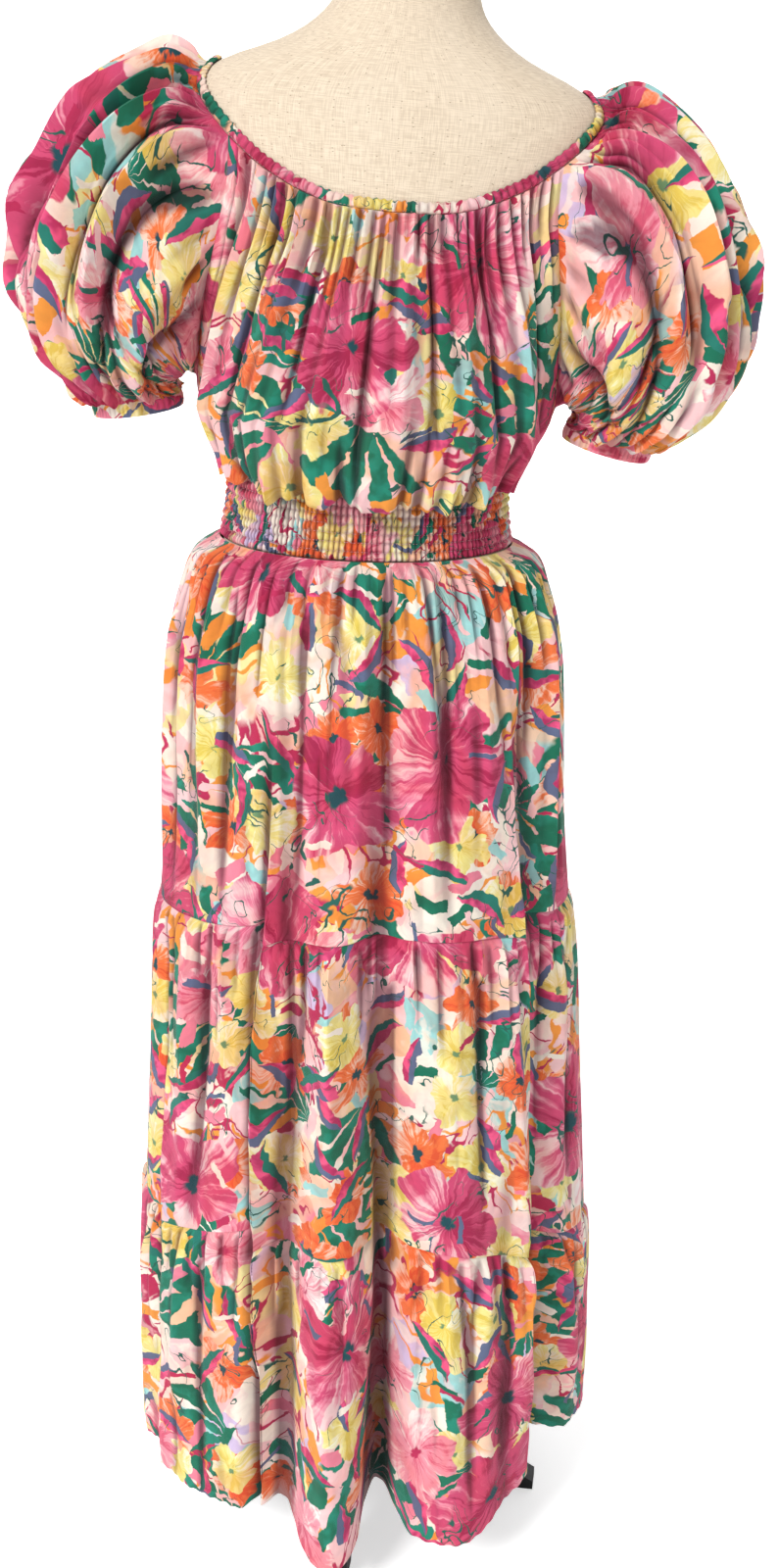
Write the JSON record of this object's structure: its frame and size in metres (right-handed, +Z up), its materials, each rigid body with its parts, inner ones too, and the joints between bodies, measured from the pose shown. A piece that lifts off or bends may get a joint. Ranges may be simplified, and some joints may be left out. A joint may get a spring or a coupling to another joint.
{
  "type": "tiered puff-sleeve maxi dress on a limbless dress form",
  "caption": "Long dress with a gathered scoop neck, puff sleeves, smocked waist and a gathered tiered skirt, worn on a limbless linen dress form with a footed stand.",
  "frame": {"origin": "on the floor, under the middle of the outline seen from above", "axes": "+Z up, the dress faces -Y, and its wearer's left is at +X"},
  "size_m": [0.6642, 0.4522, 1.6162],
  "materials": {
    "printed_cotton": "soft matt plain weave with an all-over painted flower print",
    "smocked_cotton": "the same print, closely pleated by elastic rows",
    "beige_linen": "matt slubby linen",
    "black_metal": "satin black"
  },
  "bodies": {
    "root": {"tier_1_front": "printed_cotton", "tier_1_back": "printed_cotton", "tier_2_front": "printed_cotton", "tier_2_back": "printed_cotton", "tier_3_front": "printed_cotton", "tier_3_back": "printed_cotton", "bodice_front": "printed_cotton", "bodice_back": "printed_cotton", "sleeve_left": "printed_cotton", "sleeve_right": "printed_cotton", "cuff_left": "printed_cotton", "cuff_right": "printed_cotton", "neck_casing": "printed_cotton", "waistband": "smocked_cotton", "form_torso": "beige_linen", "stand_pole": "black_metal", "stand_leg_1": "black_metal", "stand_leg_2": "black_metal", "stand_leg_3": "black_metal", "stand_leg_4": "black_metal"}
  },
  "joints": []
}
